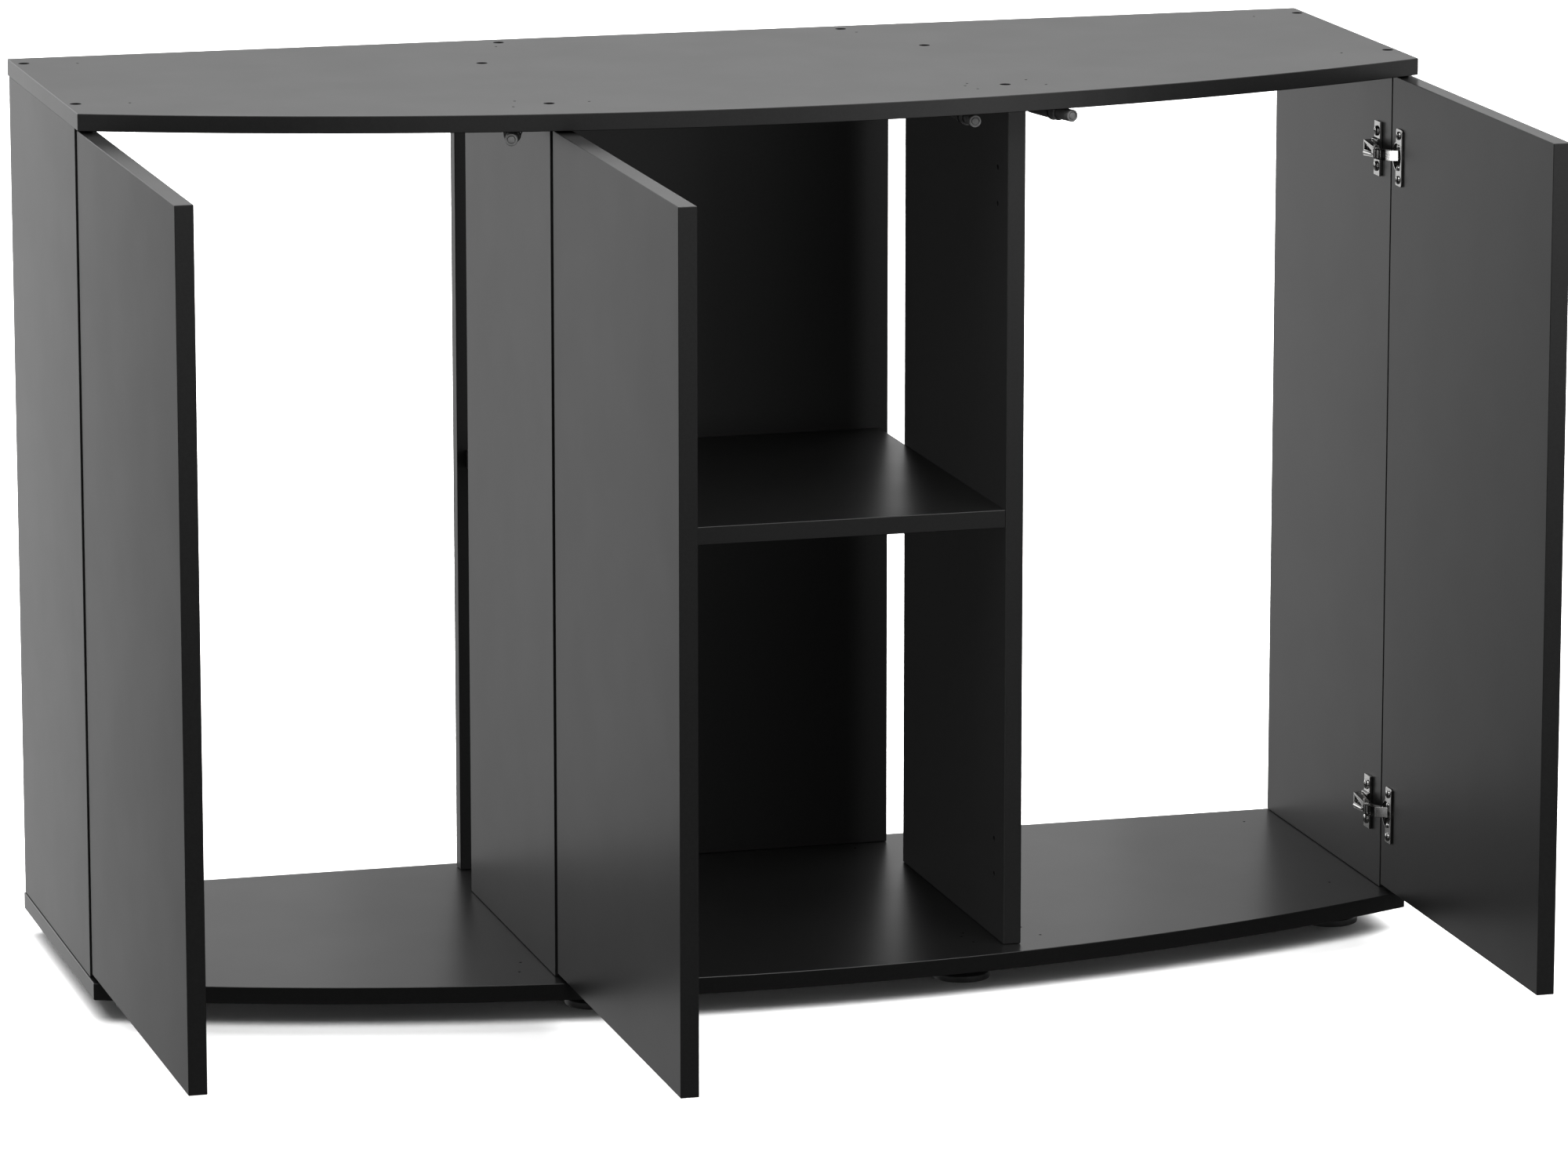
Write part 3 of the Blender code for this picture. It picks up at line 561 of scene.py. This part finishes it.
def latch_meshes():
    """Housing with a groove for its bracket, plunger with a capped tip, and bracket."""
    bore, bore_end = PLUNGER_RADIUS + SEAM, -23 * MM

    def housing(bm):
        turned(bm, [(0, LATCH_BACK), (5.2 * MM, LATCH_BACK), (5.8 * MM, LATCH_BACK + 0.6 * MM),
                    (6.5 * MM, -13 * MM), (LATCH_RADIUS, -12.4 * MM), (LATCH_RADIUS, GROOVE_BACK),
                    (GROOVE_RADIUS, GROOVE_BACK), (GROOVE_RADIUS, GROOVE_FRONT),
                    (LATCH_RADIUS, GROOVE_FRONT), (LATCH_RADIUS, -1.6 * MM),
                    (6.2 * MM, LATCH_MOUTH), (bore, LATCH_MOUTH), (bore, bore_end),
                    (0, bore_end)], LATCH_STEPS, plain)

    def plunger(bm):
        rod, groove = PLUNGER_RADIUS, PLUNGER_RADIUS - 0.7 * MM
        cap = PLUNGER_TIP - 4.6 * MM
        turned(bm, [(0, -2 * MM), (groove, -2 * MM), (groove, 1.5 * MM), (rod, 2.2 * MM),
                    (rod, cap - 1 * MM), (groove, cap - 0.6 * MM), (groove, cap), (rod, cap),
                    (rod, PLUNGER_TIP - 0.7 * MM), (rod - 0.25 * MM, PLUNGER_TIP - 0.2 * MM),
                    (rod - 0.8 * MM, PLUNGER_TIP), (3.9 * MM, PLUNGER_TIP),
                    (3.6 * MM, PLUNGER_TIP - 1.3 * MM), (3.2 * MM, PLUNGER_TIP - 1.3 * MM),
                    (2.9 * MM, PLUNGER_TIP - 0.5 * MM), (2.5 * MM, PLUNGER_TIP - 0.3 * MM),
                    (0, PLUNGER_TIP - 0.3 * MM)], LATCH_STEPS, plain)

    def bracket(bm):
        turns = [pi + pi * i / 20 for i in range(21)]
        outer, inner = ([(radius * cos(t), radius * sin(t)) for t in turns]
                        for radius in (7.5 * MM, 6.3 * MM))
        left, right, top = -8.1 * MM, 11 * MM, LATCH_DROP - SEAM
        strap = ([(left, top)] + outer + [(right, top), (right - 1.4 * MM, top)] + inner[::-1]
                 + [(left + 1.3 * MM, top)])
        prism(bm, strap, GROOVE_BACK + SEAM, GROOVE_FRONT - SEAM, plain)
        under = top - BRACKET_SHEET
        prism(bm, [(left, under), (right, under), (right, top), (left, top)],
              -34 * MM, GROOVE_BACK + SEAM, plain)
    return (finished_mesh("latch_housing", housing), finished_mesh("latch_plunger", plunger),
            finished_mesh("latch_bracket", bracket, 0.2 * MM))


def build_latches():
    """A latch on each plunger's axis; the left one's bracket reaches right, the others' left."""
    housing, plunger, bracket = latch_meshes()
    head = screw_head_below("bracket_screw", 2.3 * MM, 1.5 * MM)
    up = Vector((0, 0, 1))
    for stem in ("left", "centre", "right"):
        low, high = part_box(stem + "_latch_body")
        latch = stem + "_latch_"
        axis = Vector(JOINTS[stem + "_plunger_slide"]["axis"]).normalized()
        forward = axis if axis.y < 0 else -axis
        start = (low + high) / 2 - forward * (LATCH_BACK + LATCH_MOUTH) / 2
        basis = Matrix((up.cross(forward), up, forward)).transposed()
        place = Matrix.Translation(start) @ basis.to_4x4()
        bracket_place = place if stem == "left" else place @ MIRROR
        piece(latch + "body_finished", moved(housing, place), GREY, "cabinet",
              stands_for=(latch + "body",))
        piece(latch + "plunger_finished", moved(plunger, place), GREY,
              stem + "_plunger", stands_for=(latch + "plunger",))
        piece(latch + "bracket_finished", moved(bracket, bracket_place), BLACK,
              "cabinet")
        for label, along in (("near", -15 * MM), ("far", -29 * MM)):
            seat = Vector((BRACKET_SCREW_OUT, LATCH_DROP - SEAM - BRACKET_SHEET, along))
            piece(stem + "_bracket_screw_" + label, head, STEEL, "cabinet",
                  bracket_place @ seat)


# ---------------------------------------------------------------- feet

def build_feet():
    """Round glides with fine rims in place of the faceted ones, each with its screw from below."""
    feet = [node for node in NODES if node.endswith("_foot")]
    low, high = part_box(feet[0])
    top, radius = high.z, (high.x - low.x) / 2
    recess = 2 * MM                    # for the screw's head, in the middle of the sole

    def build(bm):
        turned(bm, [(0, recess), (4 * MM, recess), (5 * MM, 0.4 * MM), (radius - 1.4 * MM, 0),
                    (radius - 0.4 * MM, 0.5 * MM), (radius, 1.6 * MM), (radius, FOOT_RIM - 0.8 * MM),
                    (radius - 0.6 * MM, FOOT_RIM + 0.4 * MM), (radius - 4 * MM, FOOT_SHOULDER - 0.6 * MM),
                    (FOOT_STEM + 0.6 * MM, FOOT_SHOULDER), (FOOT_STEM, FOOT_SHOULDER + 0.8 * MM),
                    (FOOT_STEM, top), (0, top)], GLIDE_STEPS, plain)
    glide = finished_mesh("glide", build)
    head = screw_head_below("glide_screw", 3.6 * MM, 1.6 * MM)
    for node in feet:
        low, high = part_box(node)
        middle = Vector(((low.x + high.x) / 2, (low.y + high.y) / 2, 0))
        piece(node + "_finished", glide, BLACK, "cabinet", middle,
              stands_for=(node,))
        piece(node + "_screw", head, STEEL, "cabinet",
              middle + Vector((0, 0, recess)))


def build_bottom_screws():
    """Heads of the uprights' lower screws, under the bottom panel and below the upper screws."""
    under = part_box("bottom_panel")[0].z
    head = screw_head_below("bottom_screw", 4.4 * MM, 1.2 * MM)
    for node in NODES:
        if node.startswith("screw_"):
            low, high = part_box(node)
            piece(node.replace("screw_", "bottom_screw_"), head, STEEL, "cabinet",
                  ((low.x + high.x) / 2, (low.y + high.y) / 2, under + 0.2 * MM))


# ---------------------------------------------------------------- light and floor

AMBIENT, BACKDROP = 0.05, 1.0      # darkest part of the surround, and what the camera sees of it
SKY_BAND, SKY_FRONT = 1.6, 1.47    # bright band low behind the stand, and glow high in front
BEHIND = (-0.6, 1.0, 0.0)          # direction in which the band is brightest
# Ranges over which they come and go: of the height of a direction, and of its lean to BEHIND.
BAND_RISE, BAND_FADE, FRONT_RISE, SWEEP = (-0.15, 0.1), (0.1, 0.35), (0.35, 0.7), (-0.5, 0.4)
FLOOR_SIZE = 400
FLOOR_WASH, FLOOR_SPREAD, FLOOR_TILT = 8.0, radians(100), radians(6)  # sun for the floor only
BAY_FILL, BAY_FILL_WAY = 1.6, (1, 0.1, -0.3)  # shadowless sun for the right partition only
FRONT_Y, BEHIND_Y = -3, 0.9        # y of the walls before and behind the stand
CEILING_UP, CEILING_WIDE = 2.4, 2.4           # height and width of the ceilings
# name, y, left, right, low, high, radiance
WALLS = (("front_low", FRONT_Y, -1.2, 1.4, 0.25, 0.9, 0.87),
         ("front_right", FRONT_Y, 1.4, 2.4, 0.1, 1.5, 2.0),
         ("front_high", FRONT_Y, 0.6, 2.2, 1.5, 2.5, 0.32),
         ("front_left", FRONT_Y, -2.6, -1.2, 0.8, 2.5, 0.4),
         ("front_far_left", FRONT_Y, -5.5, -2.8, -1.5, 1.2, 0.35),
         ("front_far_right", FRONT_Y, 2.8, 6.0, -1.5, 1.2, 0.35),
         ("behind_left", BEHIND_Y, -0.9, -0.6, -1.0, 1.6, 0.72),
         ("behind_left_bay", BEHIND_Y, -0.6, -0.2, -1.0, 0.72, 0.2),
         ("behind_right_bay", BEHIND_Y, 0.2, 0.6, -1.0, 0.72, 0.24))
# name, near, far, radiance
CEILINGS = (("ceiling_front", -2.0, -0.6, 1.8), ("ceiling_middle", -0.6, 0.6, 0.5),
            ("ceiling_back", 0.6, 2.0, 3.2))
# name, place, target, width, height, radiance
FAR_LIGHTS = (("far_left", (-1.35, 6.7, 0.05), (0, 6.7, 0.05), 5.6, 3.1, 0.66),
              ("far_right", (3.0, 0.6, 1.0), (0, 0.2, 0.5), 4.0, 2.0, 0.8))
# name, low, high, radiance
LINK_CARDS = (("upper", -0.1, 0.4, 8.0), ("lower", -0.75, -0.15, 0.5))
LINK_CARD_LEFT, LINK_CARD_RIGHT = -1.4, -0.7


def area(name, at, target, width, height, radiance):
    """A soft rectangular light of even brightness, which the camera itself doesn't see."""
    light = bpy.data.lights.new(name, "AREA")
    light.shape = "RECTANGLE"
    light.size, light.size_y = width, height
    light.energy = radiance * pi * width * height
    lamp = new_object(name, light)
    lamp.location = at
    lamp.rotation_euler = (Vector(target) - Vector(at)).to_track_quat("-Z", "Y").to_euler()
    lamp.visible_camera = False
    return lamp


def wall(name, y, left, right, low, high, radiance):
    """An upright light across the view: it faces the stand, from in front or from behind."""
    x, z = (left + right) / 2, (low + high) / 2
    return area(name, (x, y, z), (x, 0, z), right - left, high - low, radiance)


def ceiling(name, near, far, radiance):
    """A level light above the stand, from near to far in y."""
    y = (near + far) / 2
    return area(name, (0, y, CEILING_UP), (0, y, 0), CEILING_WIDE, far - near, radiance)


def only_on(lamp, *things, state="INCLUDE"):
    """Let a light fall on nothing but the given objects, or with EXCLUDE on all but them."""
    group = bpy.data.collections.new(lamp.name + "_linked")
    bpy.context.scene.collection.children.link(group)
    for thing in things:
        group.objects.link(thing)
    for entry in group.collection_objects:
        entry.light_linking.link_state = state
    lamp.light_linking.receiver_collection = group


def build_world():
    """White to the eye; what lights the stand is a bright band low behind and a bright high front."""
    world = bpy.data.worlds.new("studio")
    bpy.context.scene.world = world
    world.use_nodes = True
    tree = world.node_tree
    background = tree.nodes["Background"]
    where = add_node(tree, "TexCoord").outputs["Generated"]
    up = axes(tree, where)["Z"]
    lean = add_node(tree, "VectorMath", operation="DOT_PRODUCT")
    tree.links.new(where, lean.inputs[0])
    lean.inputs[1].default_value = BEHIND
    behind = spread(tree, lean.outputs["Value"], 0, 1, *SWEEP)
    before = spread(tree, lean.outputs["Value"], 1, 0, *SWEEP)
    band = maths(tree, "MULTIPLY", spread(tree, up, AMBIENT, SKY_BAND, *BAND_RISE),
                 spread(tree, up, 1, AMBIENT, *BAND_FADE))
    band = maths(tree, "MULTIPLY", band, behind)
    high = maths(tree, "MULTIPLY", spread(tree, up, AMBIENT, SKY_FRONT, *FRONT_RISE), before)
    level = add_node(tree, "Mix", data_type="FLOAT")
    tree.links.new(add_node(tree, "LightPath").outputs["Is Camera Ray"], level.inputs["Factor"])
    tree.links.new(maths(tree, "ADD", band, high), level.inputs["A"])
    level.inputs["B"].default_value = BACKDROP
    tree.links.new(level.outputs["Result"], background.inputs["Strength"])
    background.inputs["Color"].default_value = (1, 1, 1, 1)


def build_floor():
    """White floor that only takes shadows: it is lit on its own and lights nothing itself."""
    bpy.ops.mesh.primitive_plane_add(size=FLOOR_SIZE)
    floor = bpy.context.object
    floor.name = "studio_floor"
    floor.data.materials.append(new_material("floor_white", (0.9, 0.9, 0.9), 0.9, 0.0, 0.0)[0])
    floor.visible_glossy = False
    floor.visible_diffuse = False
    floor.visible_shadow = False
    light = bpy.data.lights.new("floor_wash", "SUN")
    light.energy = FLOOR_WASH
    light.angle = FLOOR_SPREAD
    lamp = new_object("floor_wash", light)
    lamp.rotation_euler = (0, FLOOR_TILT, 0)
    only_on(lamp, floor)


def build_lights():
    """Walls, ceilings, far lights and a sun for the bay; the front walls spare the bottom panel."""
    for name, *row in WALLS:
        lamp = wall(name, *row)
        if name.startswith("front"):
            only_on(lamp, NODES["bottom_panel"], state="EXCLUDE")
    for row in CEILINGS:
        ceiling(*row)
    fill = bpy.data.lights.new("bay_fill", "SUN")
    fill.energy, fill.use_shadow = BAY_FILL, False
    lamp = new_object("bay_fill", fill)
    lamp.rotation_euler = Vector(BAY_FILL_WAY).to_track_quat("-Z", "Y").to_euler()
    only_on(lamp, NODES["right_partition"])
    for row in FAR_LIGHTS:
        area(*row)


def build_link_lights(links):
    """Two cards that only the hinge links mirror: bright for the upper ones, dim for the lower."""
    for name, low, high, radiance in LINK_CARDS:
        card = wall("card_for_links_" + name, FRONT_Y, LINK_CARD_LEFT, LINK_CARD_RIGHT, low, high,
                    radiance)
        only_on(card, *links)


# ---------------------------------------------------------------- the whole scene

build_camera()
build_world()
build_floor()
build_lights()
bpy.context.scene.view_settings.view_transform = "Standard"

dress_nodes()
build_link_lights(build_hinges())
build_latches()
build_feet()
build_bottom_screws()
